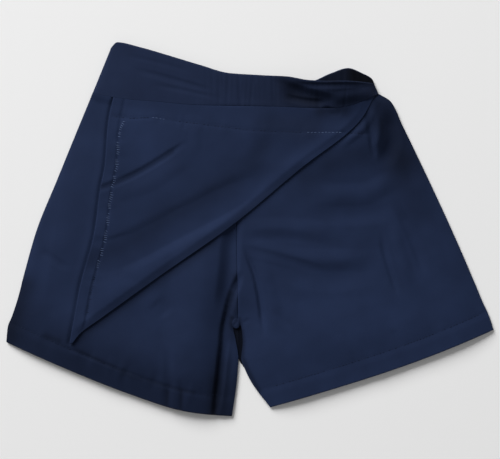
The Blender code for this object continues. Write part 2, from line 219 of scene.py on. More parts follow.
FLAP_CREASES = table(
    Fold,
    ("side_kink", -178, -10, -160, -14, -128, -8, 8, -1.0),
    ("top_strip", -60, 130, -60, 104, -62, 78, 9, 0.5),
    ("top_mark", -72, 130, -72, 120, -73, 108, 4, -0.6),
    ("middle_dent", -92, 14, -60, 22, -34, 40, 10, -0.5),
    ("upper_sag", 0, 96, 40, 84, 84, 96, 16, -0.7),
    ("low_dent", -150, -44, -134, -54, -118, -60, 9, -0.4),
    ("tip_line", -178, -60, -176, -84, -182, -104, 6, -0.4),
)

BAND_CREASES = table(
    Fold,
    ("long_line_a", -134, 178, -88, 166, -34, 150, 5, -0.6, 0.2),
    ("long_line_b", -112, 160, -74, 153, -28, 143, 4, -0.4),
    ("long_line_c", -140, 192, -104, 184, -60, 172, 4, -0.3),
    ("channel", 44, 160, 86, 157, 136, 158.5, 4, -1.2, 0.3),
    ("top_swell", 18, 178, 50, 168, 84, 163, 13, 2.2),
    ("crumple_a", 32, 158, 64, 147, 98, 137, 12, -3.4, 0.3),
    ("crumple_b", 36, 147, 62, 141, 88, 139, 5, -1.4, 0.2),
    ("low_roll", 84, 141, 110, 145, 142, 151, 8, 1.6),
    ("crumple_pit", 78, 134, 90, 129, 101, 127, 5, -2.2),
)
BACK_CREASES = table(
    Fold,
    ("seat_crease_a", -40, -60, -100, -72, -168, -54, 14, 0.7),
    ("seat_crease_b", 18, -74, 74, -88, 150, -62, 13, 0.7),
    ("seat_crease_c", -36, 30, -86, 24, -150, 46, 15, 0.5),
    ("seat_crease_d", 20, 22, 80, 34, 150, 16, 14, 0.5),
    ("leg_crease_a", -60, -96, -76, -136, -84, -190, 10, 0.6),
    ("leg_crease_b", 60, -100, 84, -132, 92, -178, 10, 0.6),
    ("side_crease_a", -190, 40, -204, 0, -220, -48, 11, 0.6),
    ("side_crease_b", 170, 30, 190, -8, 208, -50, 10, 0.6),
)

# Rows of stitches, each through its own points.
FLAP_ROW_LIGHT = ((-110, -89), (60, 104))  # where light thread shows in it, from x to x
FLAP_ROW = (
    (-151, 124), (-131, 122), (-108, 123), (-91, 120.5),
    (-5, 109.5), (12, 108.4), (63, 106.2), (103, 106),
)
FRONT_ROW = ((107, 105.8), (118, 105.2), (131, 104.8))

# Slow rise and fall of the cloth: height, size of a lump, seed.
LUMPS = (0.45, 42.0, 3.1)
SMALL_LUMPS = (0.14, 14.0, 8.7)
FLAP_LUMPS_AT = 300.0  # a shift that gives the flap lumps of its own

# Relief along seams, hems and rows of stitches.
STITCH_DENT = 0.35  # how deep a row of stitches draws the cloth in
STITCH_DENT_REACH = 1.4
CLEAR = 0.1  # the least that a front lies over a flat back, and the flap over the fronts
HEM_SEEN = (-200.0, -58.0, 24.0)  # the hem's row is drawn in from x to x, and how soon it starts and ends
HEM_DENT = (0.36, 0.84)  # share of STITCH_DENT outside that part, and how much more inside it
HEM_SOFT = 8.0  # over how much the hem's thickness rises outside it
PUCKER_LENGTH = 6.5
HEM_PUCKER = (0.2, 0.4)  # height outside it, and how much more inside it
HEM_PUCKER_REACH = 9.0
HEM_SEEDS = {"right_hem": 11, "left_hem": 12}
SIDE_PUCKERS = (8.0, 0.3, 21)  # reach, height and seed along the flap's facing
ROW_PUCKERS = (7.0, 0.3, 22)  # and along its row of stitches
SIDE_TUCK = (0.75, 5.0)  # depth and reach of the roll beside a side seam
CENTRE_TUCK = (1.1, 3.0)
BACK_TUCK = (0.5, 4.0)  # how far a back panel's seams lie off the floor
BACK_CENTRE_TUCK = (0.6, 4.0)
BAND_TUCK = (1.6, 7.0)  # at the ends of the waistband's front
BAND_BACK_TUCK = (1.5, 7.0)  # and of its back
WAIST_TUCK = 4.0  # reach of the roll at the waist seam
WAIST_TUCK_DEPTH = ((0, 1e9, 0.03), (-18, 30, 0.55), (78, 16, 0.9))  # at x, reach, depth
ALLOWANCE = 10.0  # the seam allowance under a front panel's waist, where the flap leaves it bare
ALLOWANCE_END = (-150.8, 1.8)  # where it ends, and over how much
ALLOWANCE_LIFT = 1.8
FLAP_ALLOWANCE_END = (-52.0, 12.0)  # and under the flap's own waist
FLAP_ALLOWANCE_LIFT = 0.25
FLAP_HEM_SHARE = 0.6  # of the facing's thickness, along the diagonal edge
PRESSED = 0.8  # how much thinner the diagonal edge is pressed at its top
PRESSED_REACH = (60.0, 9.0)  # down from the waist and in from the edge
NOTCH = (1.0, 0.6, 1.8)  # the front panel's groove beside the flap's side edge: depth, place, reach
NOTCH_BANK = (0.4, 5.0, 3.8)  # and the bank along it
NOTCH_SIDE = -1
EDGE_BULGE = (0.1, 2.2, 2.0)  # height, place and reach of the fold of the diagonal edge
BACK_LUMPS = 0.12
BACK_HEM_END = 15.0  # how far from its ends a back hem is of full thickness

# Gathers of the elastic waistband: valleys between soft puffs, closer and deeper where it is drawn in.
GATHER_STEP = (3.6, 7.4)
GATHER_HALF = (1.3, 2.8)
GATHER_DEPTH = (0.1, 0.6)
GATHER_SLANT = 4.0
GATHER_MIDDLE = (-0.1, 1.1)  # of the band's height, as its length is
GATHER_LENGTH = (0.45, 1.1)
GATHER_HEIGHT = 36.0
GATHER_LEAN = (0.12, -60.0)  # how much those before an x lean
SLACK = (0.12, -70.0, 60.0)  # share of the depth on the slack right end, where that ends, over how much
GATHER_CALM = 4.0  # how near to the band's ends they fade
GATHER_SEED = 5
BACK_GATHERS = (0.7, 0.5)  # share of the depth on the back band's outer and inner face

# Stitches: thickness of the thread, and the step and length of a stitch in each kind of row.
THREAD = 0.55
THREAD_SIDES = 6
Ring = namedtuple("Ring", "place thick dip")  # as shares of the half length, the thickness and DIP
RINGS = table(
    Ring,
    (-1, 0.3, 1.9),
    (-0.86, 0.85, 0.9),
    (0, 1.0, 0.0),
    (0.86, 0.85, 0.9),
    (1, 0.3, 1.9),
)
DIP = 0.155  # how far a stitch's ends go into the cloth
STITCH_LENGTHS = (0.88, 1.08)  # shortest and longest, as shares of their own row's
UNEVEN = (0.3, 0.07, 0.12)  # how uneven a row's steps, turns and places beside its line are
ALONG = 0.5  # how far along the line on both sides a stitch takes its direction from
SINK = 0.12
SINK_MORE = 0.3  # and how much deeper the deepest stitches are drawn in
# The bars over the flap's facing are pale from each y down to the next, and dark below.
LADDER_PALE = ((121, 99), (98, 80), (79, 62), (61, 44), (43, 21), (20, 3), (1, -16), (-18, -31), (-32, -44))
LADDER_DARK = ((-45, -93),)
LADDER = (2.5, 3.6)
LADDER_SWAY = (0.6, 2.6)  # how far the row sways, and its wave's length over 2 pi
LADDER_LEAN = (4.4, 100.0, 24.0)  # how far its top leans off the facing's edge, from y up, over how much
LADDER_TURN = 84  # degrees
LADDER_EDGE = (0.03, 0.95, 40)  # the part of the flap's side edge that it runs along, and its points
LADDER_STEPS = 400
TOPSTITCH = (3.9, 3.0)
HEM_STITCH = (3.6, 2.7)
HEM_BARE = 3  # how many points of a hem's line have no stitches at each end
ROW_SEEDS = (31, 7)  # from one piece of stitches to the next, and the first
KNOT = (-15.3, -103.6)  # middle of the small lump where the four seams of the crotch meet
KNOT_HALF = (4.3, 5.7)
KNOT_THICK = 0.5
KNOT_RISE = 0.7
KNOT_CLEAR = 0.05
KNOT_GRID = (19, 25)

PANEL_SEAMS = (True, False, False, True)
WAIST_SEAMS = (True, False, False, False)
NO_SEAMS = (False, False, False, False)
SEWN_RIM = 0.05  # how far from a seam a rim starts to round
BACK_INSIDE_SHADE = 0.14  # painted shade: brightness of the back panels' inner faces, as a share of their outer ones

# Painted shade on a piece's outer face, or painted light for a strength below 0: darker in creases, crumples
# and hollows, along the hems, beside the flap's edges and round the knot, paler along ridges. Each has the
# line that the change follows, how far it reaches, and its share of the brightness at the line.
INNER_LEG = (
    (-22, -70), (-26.5, -90), (-30.7, -104), (-32.2, -120),
    (-34.4, -140), (-37, -165), (-41, -206),
)
LONG_TROUGH = (
    (-182, -32), (-148, -22), (-112, -4), (-92, 14),
    (-60, 30), (-30, 48), (2, 74), (12, 92),
)
PAINTED_SHADES = {
    "front_panel_right": (
        ("right_hem", 48.0, 0.42),
        (((-250, -62), (-266, -118)), 13.0, 0.45),
        (INNER_LEG, 3.0, 0.5),
        (((-15, -52), (-19, -88), (-21, -118)), 6.0, 0.3),
        (((-31, -152), (-33, -208)), 14.0, 0.3),
        (((-20, -97), (-21.4, -103), (-19.8, -109)), 2.0, 0.4),
        (((-190, -132), (-131, -160.5), (-80, -175.5), (-62, -179)), 2.6, 0.25),
        (((-224, -117), (-210, -122)), 3.5, 0.3),
        (((-90.5, -178), (-92, -195)), 2.2, 0.34),
        (((-75.4, -177), (-76, -197)), 2.2, 0.34),
        (((-38, -166), (-40.5, -200)), 6.5, 0.32),
        (((-190, -119), (-165, -102), (-101, -57), (-40, -14)), 6.0, 0.3),
    ),
    "front_panel_left": (
        (((146, 138), (158, 108), (168, 78)), 25.0, 0.54),
        (((168, 66), (190, 20)), 20.0, 0.2),
        (((62, 56), (92, 75), (124, 84)), 14.0, 0.26),
        (((30, -104), (100, -100), (160, -92)), 56.0, -0.14),
        (((-11.4, -98), (-10.4, -104), (-10, -109)), 2.0, 0.4),
        (((-8.6, -112), (-7.2, -124), (-8.4, -140), (-2, -156), (10, -178)), 2.4, 0.45),
    ),
    "wrap_flap": (
        (LONG_TROUGH, 12.0, 0.22),
        (((-152, -64), (-106, -34), (-80, -16), (-40, 6), (36, 64), (80, 100)), 9.0, -0.16),
        (((-176, 42), (-150, 50), (-118, 66), (-86, 85)), 3.2, 0.26),
        (((-124, 118), (-112, 88)), 24.0, -0.24),
        (((-186, 30), (-176, 10)), 14.0, -0.14),
        (((26, 118), (66, 112)), 17.0, 0.32),
        (((-186, -112), (-162, -95), (-101, -50), (-16, 9), (56, 69)), 4.5, 0.2),
        (((78, 130), (104, 130)), 8.0, 0.45),
    ),
    "waistband_front": (
        (((44, 146), (70, 140)), 9.0, 0.5),
        (((36, 160), (52, 156)), 8.0, 0.3),
        (((80, 164), (92, 160)), 6.0, 0.3),
        (((110, 150), (134, 152)), 10.0, 0.15),
    ),
}
# Painted shade: the knot's cloth is darker than the panels' to dim the light on its dome.
KNOT_SHADE = 0.72
BAND_END_SHADE = (0.64, -70.0, 150.0)  # painted shade: brightness of the band's left end, from where it falls to that, over how much
BAND_INSIDE_SHADE = 0.08  # painted shade: brightness deep inside the waistband
BEFORE_MOUTH = 0.28  # and inside it up to the mouth
DEEP_FROM = (114.0, 11.0)  # where the deep part starts, and over how much
TOP_EDGE = 1.3  # how far down from its top edge the back band's inner face is still pale

# Floor, lamps (name, place, size, power), room light and camera.
FLOOR_Z = -0.0002
FLOOR_REACH = 12.0
FLOOR_ROUGHNESS = 0.75
FLOOR_COLOUR = (0.82, 0.82, 0.82)
LAMPS = (
    ("key", (-4.2, 7.0, 4.6), 5.2, 1350.0),
    ("fill", (0.0, 0.2, 3.2), 2.0, 10.0),
)
ROOM = 0.18
LENS = 85.0
SENSOR = 36.0
CLIP_START = 0.05
SEEN_WIDTH = 0.55
SEEN_HEIGHT = 0.005

# Colours and finishes. Diagonal waves of the twill's scale give it lines that are 0.78 mm apart.
NAVY = (0.0117, 0.0202, 0.0520)
BAND_NAVY = (0.0114, 0.0190, 0.0480)
LIGHT_THREAD = (0.062, 0.097, 0.195)
DARK_THREAD = (0.0065, 0.0115, 0.0300)
LIGHT_GLOSS = 0.35
DARK_GLOSS = 0.1
THREAD_ROUGH = 0.6
CLOTH_ROUGH = 0.8
CLOTH_SHINE = {
    "Specular IOR Level": 0.07,
    "Sheen Weight": 0.02,
    "Sheen Roughness": 0.45,
    "Sheen Tint": (0.35, 0.45, 0.8, 1),
}
TWILL = {"Scale": 570.0, "Distortion": 1.2, "Detail": 1.0}
FUZZ = {"Scale": 1500.0, "Detail": 2.0}
DYE = {"Scale": 28.0, "Detail": 3.0}
BUMP = {"Strength": 0.35, "Distance": 0.00012}
DYE_TONES = (0.9, 1.1)
FUZZ_TONES = (0.86, 1.14)
TWILL_TONES = (0.92, 1.08)
ROUGH_TONES = (0.74, 0.86)
TONES_FROM = (0.25, 0.75)  # the part of a texture's 0 to 1 that its tones are spread over

# Grids: a piece's height and width, the grain's turn in degrees, a line every so many millimetres, and
# extra ones beside a rim, as shares of the first step.
PANEL_SIZE = (350, 240)
FLAP_SIZE = (260, 290)
BAND_SIZE = (46, 330)
GRAIN = {"right": 10, "left": -12, "flap": -8, "band": 0}
PITCH = 1.7
HIDDEN_PITCH = 2.6
BAND_PITCH = 1.1
RIM = (0.03, 0.12, 0.35, 0.7)
SEAM_POINTS = 180  # points of the waist seam's curve, of an outline's and of a fold's
OUTLINE_POINTS = 60
FOLD_POINTS = 30


# ---- curves and distances


def run_along(points):
    """How far along a line of points each of them lies, or along each column of a grid of them."""
    steps = np.linalg.norm(np.diff(points, axis=0), axis=-1)
    return np.concatenate([np.zeros((1, *steps.shape[1:])), np.cumsum(steps, axis=0)])


def shares(points):
    """The same from 0 to 1."""
    run = run_along(points)
    return run / run[-1]


def through(points, where):
    """A smooth curve through points that never swings past them, read at each share of its length."""
    points = np.asarray(points, float)
    knots = shares(points)
    chords = np.diff(points, axis=0) / np.diff(knots)[:, None]
    before, after = chords[:-1], chords[1:]
    alike = before * after > 0
    slopes = np.zeros_like(points)
    slopes[0], slopes[-1] = chords[0], chords[-1]
    slopes[1:-1][alike] = (2 * before[alike] * after[alike]) / (before[alike] + after[alike])
    where = np.clip(np.asarray(where, float), 0, 1)
    left = np.clip(np.searchsorted(knots, where, side="right") - 1, 0, len(knots) - 2)
    span = (knots[left + 1] - knots[left])[:, None]
    t = (where - knots[left])[:, None] / span
    start = (2 * t**3 - 3 * t**2 + 1) * points[left] + (t**3 - 2 * t**2 + t) * span * slopes[left]
    end = (3 * t**2 - 2 * t**3) * points[left + 1] + (t**3 - t**2) * span * slopes[left + 1]
    return start + end


def smooth(share):
    """0 to 1, with level ends."""
    share = np.clip(share, 0, 1)
    return share * share * (3 - 2 * share)


def bell(away, reach):
    """1 at no distance, fading smoothly to nothing past the reach."""
    return np.exp(-((away / reach) ** 2))


def at_least(lowest, height, turn=0.2):
    """The height, and nearly the lowest one where it is below that, with a soft turn between."""
    over_it = height - lowest
    return lowest + (over_it + np.hypot(over_it, turn)) / 2


def turn_by(degrees):
    """The matrix that turns rows of x and y."""
    cos, sin = np.cos(np.radians(degrees)), np.sin(np.radians(degrees))
    return np.array([[cos, sin], [-sin, cos]])


def nearest(x, y, line):
    """For each point: the distance to a line of points, the share of its length there, and the side."""
    line = np.asarray(line, float)
    start, along = line[:-1], np.diff(line, axis=0)
    length = np.linalg.norm(along, axis=1)
    flat_x, flat_y = np.ravel(x), np.ravel(y)
    best = np.full(len(flat_x), np.inf)
    share, side = np.zeros(len(flat_x)), np.zeros(len(flat_x))
    run = np.r_[0, np.cumsum(length)]
    for (x0, y0), (dx, dy), step, before in zip(start, along, length, run):
        away_x, away_y = flat_x - x0, flat_y - y0
        part = np.clip((away_x * dx + away_y * dy) / step**2, 0, 1)
        gap = (away_x - part * dx) ** 2 + (away_y - part * dy) ** 2
        closer = gap < best
        best = np.where(closer, gap, best)
        share = np.where(closer, (before + part * step) / run[-1], share)
        side = np.where(closer, np.sign(dx * away_y - dy * away_x), side)
    return [part.reshape(np.shape(x)) for part in (np.sqrt(best), share, side)]


# ---- the pieces' plans


SEAM_LINE = through([(s.low_x, s.low_y) for s in BAND_STATIONS], np.linspace(0, 1, SEAM_POINTS))


def waist_seam(x):
    """Y of the seam between the waistband and the panels."""
    return np.interp(x, SEAM_LINE[:, 0], SEAM_LINE[:, 1])


def section_line(section, columns, shift):
    """Points across a panel, from its side seam to its inner edge."""
    side = np.array([section.side_x, section.side_y])
    inner = np.array([section.inner_x + shift, section.inner_y])
    chord = inner - side
    down = np.array([-chord[1], chord[0]]) / np.linalg.norm(chord)
    down *= -np.sign(down[1])
    share = np.minimum(columns / section.dip_at, (1 - columns) / (1 - section.dip_at))
    hang = section.dip * np.sin(np.pi / 2 * np.clip(share, 0, 1))
    return side + columns[:, None] * chord + hang[:, None] * down


def panel_plan(side, sections, rows, columns):
    """The plan of a leg panel as a grid of points: rows from waist to hem, columns from side to inner."""
    end, sign = (BAND_STATIONS[0].low_x, -1) if side == "right" else (BAND_STATIONS[-1].low_x, 1)
    shift = sign * SEWN_GAP / 2
    x = end + columns * (sections[0].inner_x + shift - end)
    waist = np.stack([x, waist_seam(x) - SEWN_GAP], axis=1)
    lines = np.array([waist] + [section_line(s, columns, shift) for s in sections])
    knots = shares(lines[:, len(columns) // 2])
    plan = np.empty((len(rows), len(columns), 2))
    for column in range(len(columns)):
        line = lines[:, column]
        plan[:, column] = through(line, np.interp(rows, knots, shares(line)))
    return plan


def back_sections(sections):
    """The back's sections: the same outline, with the centre seam run on to the back's crotch."""
    crotch_x = next(s.inner_x for s in sections if s.inner_y == CROTCH_Y)
    return [
        s._replace(inner_x=crotch_x + BACK_SEAM_LEAN * (CROTCH_Y - s.inner_y))
        if BACK_CROTCH_Y < s.inner_y < CROTCH_Y
        else s
        for s in sections
    ]


def band_plan(rows, columns, rise):
    """The plan of a waistband piece: rows from the waist seam up, columns from right to left."""
    stations = np.array(BAND_STATIONS, float)
    x = stations[0, 0] + columns * (stations[-1, 0] - stations[0, 0])
    low = np.stack([x, waist_seam(x)], axis=1)
    top = stations[:, 2:4].copy()
    top[:, 1] += rise * stations[:, 4]
    top = through(top, np.interp(x, stations[:, 0], shares(top)))
    return low[None] + rows[:, None, None] * (top - low)[None]


def flap_edges(rows):
    """The flap's side edge and diagonal edge, from the waist seam down to the tip."""
    start, end = ((x, waist_seam(x) - 2 * SEWN_GAP) for x in FLAP_TOP_X)
    tip = np.array(FLAP_TIP)
    side = through([start, *FLAP_SIDE, tip], rows)
    diagonal = through([end, *FLAP_DIAGONAL, tip + (FLAP_TIP_WIDTH, 0)], rows)
    return side, diagonal


def flap_plan(rows, columns):
    """The plan of the flap: rows from the waist seam to the tip, columns from side to diagonal edge."""
    side, diagonal = flap_edges(rows)
    x = FLAP_TOP_X[0] + columns * (FLAP_TOP_X[1] - FLAP_TOP_X[0])
    seam = np.stack([x, waist_seam(x) - 2 * SEWN_GAP], axis=1)
    straight = seam[0] + columns[:, None] * (seam[-1] - seam[0])
    bend = (seam - straight)[None] * (1 - rows)[:, None, None]
    return side[:, None] + columns[None, :, None] * (diagonal - side)[:, None] + bend


# ---- heights


def inner_points(sections, low, high):
    """The inner ends of the sections that lie between two values of y."""
    return [(s.inner_x, s.inner_y) for s in sections if low < s.inner_y < high]


def outline():
    """The lines along which front and back are joined, and the two hems."""
    stations = np.array(BAND_STATIONS, float)
    waist = (CENTRE_X, waist_seam(CENTRE_X))
    lines = {}
    for name, sections, end in (("right", RIGHT_SECTIONS, 0), ("left", LEFT_SECTIONS, -1)):
        top, low = stations[end, 2:4], stations[end, :2]
        lines[name + "_side"] = through([top, low] + [(s.side_x, s.side_y) for s in sections], READ_AT)
        lines[name + "_hem"] = section_line(sections[-1], READ_AT, 0)
        for which, crotch in (("_inseam", CROTCH_Y), ("_back_inseam", BACK_CROTCH_Y)):
            lines[name + which] = through(inner_points(sections, -np.inf, crotch + NEAR), READ_AT)
    lines["centre"] = np.array([waist] + inner_points(LEFT_SECTIONS, CROTCH_Y - NEAR, np.inf))
    back = back_sections(LEFT_SECTIONS)
    lines["back_centre"] = np.array([waist] + inner_points(back, BACK_CROTCH_Y, np.inf))
    return lines


READ_AT = np.linspace(0, 1, OUTLINE_POINTS)
LINES = outline()


def over(x, y, *names):
    """The distance to the nearest of the named lines of both legs."""
    lines = [LINES[side + name] for name in names for side in ("right_", "left_")]
    return np.min([nearest(x, y, line)[0] for line in lines], axis=0)


def fold_height(x, y, folds):
    """What the folds add: each fades out towards both ends and both sides."""
    total = np.zeros(np.shape(x))
    for fold in folds:
        line = through([fold[1:3], fold[3:5], fold[5:7]], np.linspace(0, 1, FOLD_POINTS))
        reach = fold.half * (1 + abs(fold.lean))
        (left, low), (right, high) = line.min(0) - reach, line.max(0) + reach
        close = (x > left) & (x < right) & (y > low) & (y < high)
        gap, share, side = nearest(x[close], y[close], line)
        half = fold.half * (1 - fold.lean * side)
        across = np.clip(1 - (gap / half) ** 2, 0, 1) ** 2
        total[close] += fold.height * across * smooth(share / FOLD_FADE) * smooth((1 - share) / FOLD_FADE)
    return total


def unevenness(x, y, size, seed):
    """Slow, soft rise and fall of the cloth, between -1 and 1, with lumps of about that size."""
    place = np.stack([np.ravel(x) / size, np.ravel(y) / size], axis=1)
    return np.array([noise.noise(Vector((u, v, seed))) for u, v in place]).reshape(np.shape(x))


def front_under(x, y, folds=FRONT_FOLDS):
    """Height of the front layer's underside over the surface."""
    seam = over(x, y, "side", "inseam")
    swell = 1 - (1 - np.clip(seam / CROWN_REACH, 0, 1)) ** CROWN_ROUND
    near_hem = 1 - smooth(over(x, y, "hem") / HEM_REACH)
    near_band = smooth(1 - (waist_seam(x) - y) / BAND_REACH)
    mouth = bell(x - MOUTH_AT[0], MOUTH_REACH[0]) * bell(y - MOUTH_AT[1], MOUTH_REACH[1])
    crown = CROWN * (1 - (1 - HEM_CROWN) * near_hem) * (1 - (1 - BAND_CROWN) * near_band)
    rise = smooth(seam / FOLD_CALM) * fold_height(x, y, folds)
    rest = CLOTH + SEAM_GAP + (BAND - CLOTH) * near_band
    return rest + at_least(0, swell * (crown + MOUTH * mouth) + rise)


def flap_under(x, y):
    """Height of the flap's underside: on the front panels, with its roll and folds on top."""
    cover = front_under(x, y, [fold for fold in FRONT_FOLDS if fold.height > 0]) + CLOTH
    side, diagonal = flap_edges(READ_AT)
    edge, share, _ = nearest(x, y, diagonal)
    high, away, reach = (low + more * share**2 for low, more in (ROLL, ROLL_AT, ROLL_REACH))
    curl = CURL + (1 - CURL) * smooth(edge / CURL_REACH)
    below = smooth((waist_seam(x) - y) / LOOSE_BELOW)
    beside = smooth(nearest(x, y, side)[0] / LOOSE_BESIDE)
    lift = beside * high * bell(edge - away, reach) + EASE
    lift = below * (curl * lift + fold_height(x, y, FLAP_FOLDS + FLAP_CREASES))
    return cover + LAYER_GAP + at_least(0, lift)


# ---- relief of seams, hems and stitching


def tuck(gap, depth, reach):
    """How far cloth dips where it is drawn into a seam: all of depth at the seam, none past the reach."""
    return depth * (1 - np.sqrt(1 - (1 - np.clip(gap / reach, 0, 1)) ** 2))


def waist_tuck(x, gap):
    """The roll beside the waist seam, which is deep in two places only."""
    depth = sum(depth * bell(x - at, reach) for at, reach, depth in WAIST_TUCK_DEPTH)
    return depth * tuck(gap, 1.0, WAIST_TUCK)


def dent(gap, deeper=1.0):
    """The groove that a row of stitches draws into the cloth."""
    return deeper * STITCH_DENT * bell(gap, STITCH_DENT_REACH)


def puckers(x, y, line, at, reach, height, seed):
    """Small ripples across a row of stitches that runs beside a line, at a distance from it."""
    gap, share, _ = nearest(x, y, line)
    run = share * np.linalg.norm(np.diff(line, axis=0), axis=1).sum() / PUCKER_LENGTH
    level = np.random.default_rng(seed).uniform(-1, 1, int(run.max()) + 3)
    whole = run.astype(int)
    part = smooth(run - whole)
    wave = level[whole] * (1 - part) + level[whole + 1] * part
    return height * wave * bell(gap - at, reach)


def lumps(x, y):
    """The cloth's own unevenness."""
    return sum(height * unevenness(x, y, *size) for height, *size in (LUMPS, SMALL_LUMPS))


def ridge(gap, height, at, reach):
    """A ridge along a line, at a distance from it."""
    return height * bell(gap - at, reach)


def notch(x, y):
    """What the cloth beside the flap's side edge does: a low bank, and a groove right at the edge."""
    line = flap_edges(READ_AT)[0]
    gap, _, side = nearest(x, y, line)
    outside = gap * np.sign(side) * NOTCH_SIDE
    return ridge(outside, *NOTCH_BANK) - ridge(outside, *NOTCH)


def allowance(x, waist, end, over_how_much):
    """1 over a seam allowance that ends at an x, and 0 elsewhere."""
    return smooth(1 - waist / ALLOWANCE) * smooth((end - x) / over_how_much)


def hem_seen(x):
    """1 where the hem's row of stitches is drawn in, and 0 elsewhere."""
    start, end, soon = HEM_SEEN
    return smooth((x - start) / soon + 0.5) * smooth((end - x) / soon + 0.5)


def front_layer(x, y):
    """Outer face and thickness of a front panel, before its rim is rounded."""
    sides = over(x, y, "side", "inseam")
    hem = over(x, y, "hem")
    centre = nearest(x, y, LINES["centre"])[0]
    waist = waist_seam(x) - y
    calm = smooth(sides / FOLD_CALM) * smooth(waist / FOLD_CALM)
    loose = calm * (fold_height(x, y, FRONT_CREASES) + lumps(x, y))
    seen = hem_seen(x)
    height = HEM_PUCKER[0] + HEM_PUCKER[1] * seen
    for name, seed in HEM_SEEDS.items():
        loose += puckers(x, y, LINES[name], HEM, HEM_PUCKER_REACH, height, seed)
    loose -= tuck(sides, *SIDE_TUCK) + tuck(centre, *CENTRE_TUCK) + waist_tuck(x, waist)
    loose -= dent(hem - HEM, HEM_DENT[0] + HEM_DENT[1] * seen)
    loose += calm * notch(x, y) - dent(nearest(x, y, FRONT_ROW)[0])
    lowest = CLOTH + CLEAR
    under = at_least(lowest, front_under(x, y) + loose)
    turned = smooth((HEM - hem) / (HEM_SOFT + (STEP - HEM_SOFT) * seen))
    thick = CLOTH + TURNED * turned + ALLOWANCE_LIFT * allowance(x, waist, *ALLOWANCE_END)
    return under + thick, thick


def flap_layer(x, y):
    """Outer face and thickness of the flap, before its rim is rounded."""
    side, diagonal = flap_edges(READ_AT)
    beside, beyond = nearest(x, y, side)[0], nearest(x, y, diagonal)[0]
    row = nearest(x, y, FLAP_ROW)[0]
    waist = waist_seam(x) - y
    loose = smooth(waist / FOLD_CALM) * lumps(x + FLAP_LUMPS_AT, y) + fold_height(x, y, BAND_CREASES)
    loose += puckers(x, y, side, FACING, *SIDE_PUCKERS)
    loose += puckers(x, y, np.array(FLAP_ROW, float), 0, *ROW_PUCKERS)
    loose -= dent(beside - FACING) + dent(row) + waist_tuck(x, waist)
    upper = smooth(1 - waist / PRESSED_REACH[0])
    hem = (1 - upper) * FLAP_HEM_SHARE * smooth((FLAP_HEM - beyond) / FLAP_HEM)
    border = np.maximum(smooth((FACING - beside) / STEP), hem)
    thick = CLOTH + TURNED * border + ridge(beyond, *EDGE_BULGE)
    thick += FLAP_ALLOWANCE_LIFT * allowance(x, waist, *FLAP_ALLOWANCE_END)
    thick -= PRESSED * upper * smooth(1 - beyond / PRESSED_REACH[1])
    lowest = front_layer(x, y)[0] + CLEAR
    under = at_least(lowest, flap_under(x, y) + loose)
    return under + thick, thick


def gathers(x, y, seed):
    """The waistband's gathers: how deep its face sinks at each place."""
    rng = np.random.default_rng(seed)
    deep = np.zeros(np.shape(x))
    up = y - waist_seam(x)
    across = up / GATHER_HEIGHT
    drawn = SLACK[0] + (1 - SLACK[0]) * smooth((x - SLACK[1]) / SLACK[2])
    place = BAND_STATIONS[0].low_x
    while place < BAND_STATIONS[-1].low_x:
        half, depth = rng.uniform(*GATHER_HALF), rng.uniform(*GATHER_DEPTH)
        slant = rng.uniform(-GATHER_SLANT, GATHER_SLANT)
        middle, length = rng.uniform(*GATHER_MIDDLE), rng.uniform(*GATHER_LENGTH)
        lean = GATHER_LEAN[0] * up * (place < GATHER_LEAN[1])
        line = place + slant * (across - 0.5) + lean
        deep += depth * bell(x - line, half) * bell(across - middle, length)
        place += rng.uniform(*GATHER_STEP)
    return drawn * deep


def band_front_layer(x, y):
    sides = over(x, y, "side")
    up = y - waist_seam(x)
    loose = fold_height(x, y, BAND_CREASES) + smooth(up / FOLD_CALM) * lumps(x, y)
    loose *= smooth(sides / FOLD_CALM)
    loose -= gathers(x, y, GATHER_SEED) * smooth(sides / GATHER_CALM)
    loose -= waist_tuck(x, up) + tuck(sides, *BAND_TUCK)
    return front_under(x, y) + BAND + loose, BAND


def back_layer(x, y):
    """Inner face and thickness of a back panel: its outer face lies down, and seams and creases lift it."""
    sides = over(x, y, "side", "back_inseam")
    hem = over(x, y, "hem")
    centre = nearest(x, y, LINES["back_centre"])[0]
    lift = smooth(sides / FOLD_CALM) * fold_height(x, y, BACK_CREASES)
    lift += tuck(sides, *BACK_TUCK) + tuck(centre, *BACK_CENTRE_TUCK) + tuck(waist_seam(x) - y, *BACK_TUCK)
    lift += dent(hem - HEM) + BACK_LUMPS * (1 + unevenness(x, y, *LUMPS[1:]))
    thick = CLOTH + TURNED * smooth((HEM - hem) / STEP) * smooth(sides / BACK_HEM_END)
    return lift + thick, thick


def band_back_layer(x, y):
    sides = over(x, y, "side")
    lift = BACK_GATHERS[0] * gathers(x, y, GATHER_SEED + 1) + tuck(sides, *BAND_BACK_TUCK)
    return lift + BAND - BACK_GATHERS[1] * gathers(x, y, GATHER_SEED + 2), BAND


def knot_plan():
    """An oval grid of plan points."""
    across, down = np.meshgrid(np.linspace(-1, 1, KNOT_GRID[0]), np.linspace(1, -1, KNOT_GRID[1]))
    x = KNOT[0] + KNOT_HALF[0] * across * np.sqrt(1 - down**2 / 2)
    y = KNOT[1] + KNOT_HALF[1] * down * np.sqrt(1 - across**2 / 2)
    return np.stack([x, y], axis=2)


def knot_layer(x, y):
    away = ((x - KNOT[0]) / KNOT_HALF[0]) ** 2 + ((y - KNOT[1]) / KNOT_HALF[1]) ** 2
    rise = KNOT_RISE * (1 - np.clip(away, 0, 1))
    return front_layer(x, y)[0] + KNOT_CLEAR + KNOT_THICK + rise, KNOT_THICK


# ---- meshes


def spread(length, pitch):
    """Shares from 0 to 1 with a step of about pitch, and more of them beside both ends."""
    even = np.linspace(0, 1, round(length / pitch))
    near = even[1] * np.array(RIM)
    return np.r_[0, near, even[1:-1], 1 - near[::-1], 1]


def grid(size, pitch):
    """The rows and the columns of a piece of that height and width."""
    return [spread(length, pitch) for length in size]


